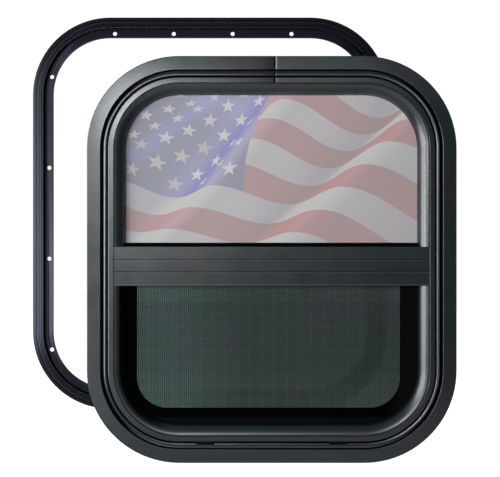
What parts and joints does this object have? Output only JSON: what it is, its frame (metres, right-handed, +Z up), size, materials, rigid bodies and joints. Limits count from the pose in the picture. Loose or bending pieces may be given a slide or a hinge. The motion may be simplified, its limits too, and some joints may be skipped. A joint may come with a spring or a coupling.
{
  "type": "caravan window",
  "caption": "Round-cornered caravan window: fixed pane with a waving flag print over a fly screen and sliding sash, black aluminium frame, and its clamp ring set off behind.",
  "frame": {"origin": "on the flat back face of the mounting flange, middle of its bottom band, half way along the window's width", "axes": "+Z up the window, +X to the right seen from outside, -Y towards the outside, +Y into the caravan"},
  "size_m": [0.5865, 0.0553, 0.6165],
  "materials": {
    "frame_black": "satin black powder coat",
    "ring_black": "satin black, drawn lines along the section",
    "screen_black": "matt black",
    "tinted_glass": "dark tint",
    "flag_print": "printed film, pale",
    "fly_mesh": "woven grey fly mesh",
    "black_rubber": "matt",
    "black_plastic": "moulded",
    "pile_brush": "brush pile",
    "plain_steel": "plain"
  },
  "bodies": {
    "window": {"outer_frame": "frame_black", "glazing_ledge": "frame_black", "frame_splice_plate": "plain_steel", "upper_glazing_bead": "frame_black", "lower_glazing_bead": "frame_black", "glazing_gasket": "black_rubber", "glazing_tape": "black_rubber", "fixed_glass": "tinted_glass", "flag_film": "flag_print", "meeting_rail": "frame_black", "glass_seal_strip": "black_rubber", "screen_frame": "screen_black", "screen_mesh": "fly_mesh", "screen_spline": "black_rubber", "screen_pull_tabs": "black_plastic", "sash_glass": "tinted_glass", "sash_top_rail": "frame_black", "sash_bottom_rail": "frame_black", "sash_latch_left": "black_plastic", "sash_latch_right": "black_plastic", "latch_keeper_left": "plain_steel", "latch_keeper_right": "plain_steel", "left_track": "black_plastic", "right_track": "black_plastic", "sill_track": "black_plastic", "meeting_pile": "pile_brush", "sash_edge_seal": "black_rubber"},
    "ring": {"clamp_ring": "ring_black"}
  },
  "joints": [
    {"name": "ring_slide", "type": "slide", "parent": "window", "child": "ring", "axis": [0.7989, 0, -0.6015], "range_m": [0, 0.1064]}
  ]
}
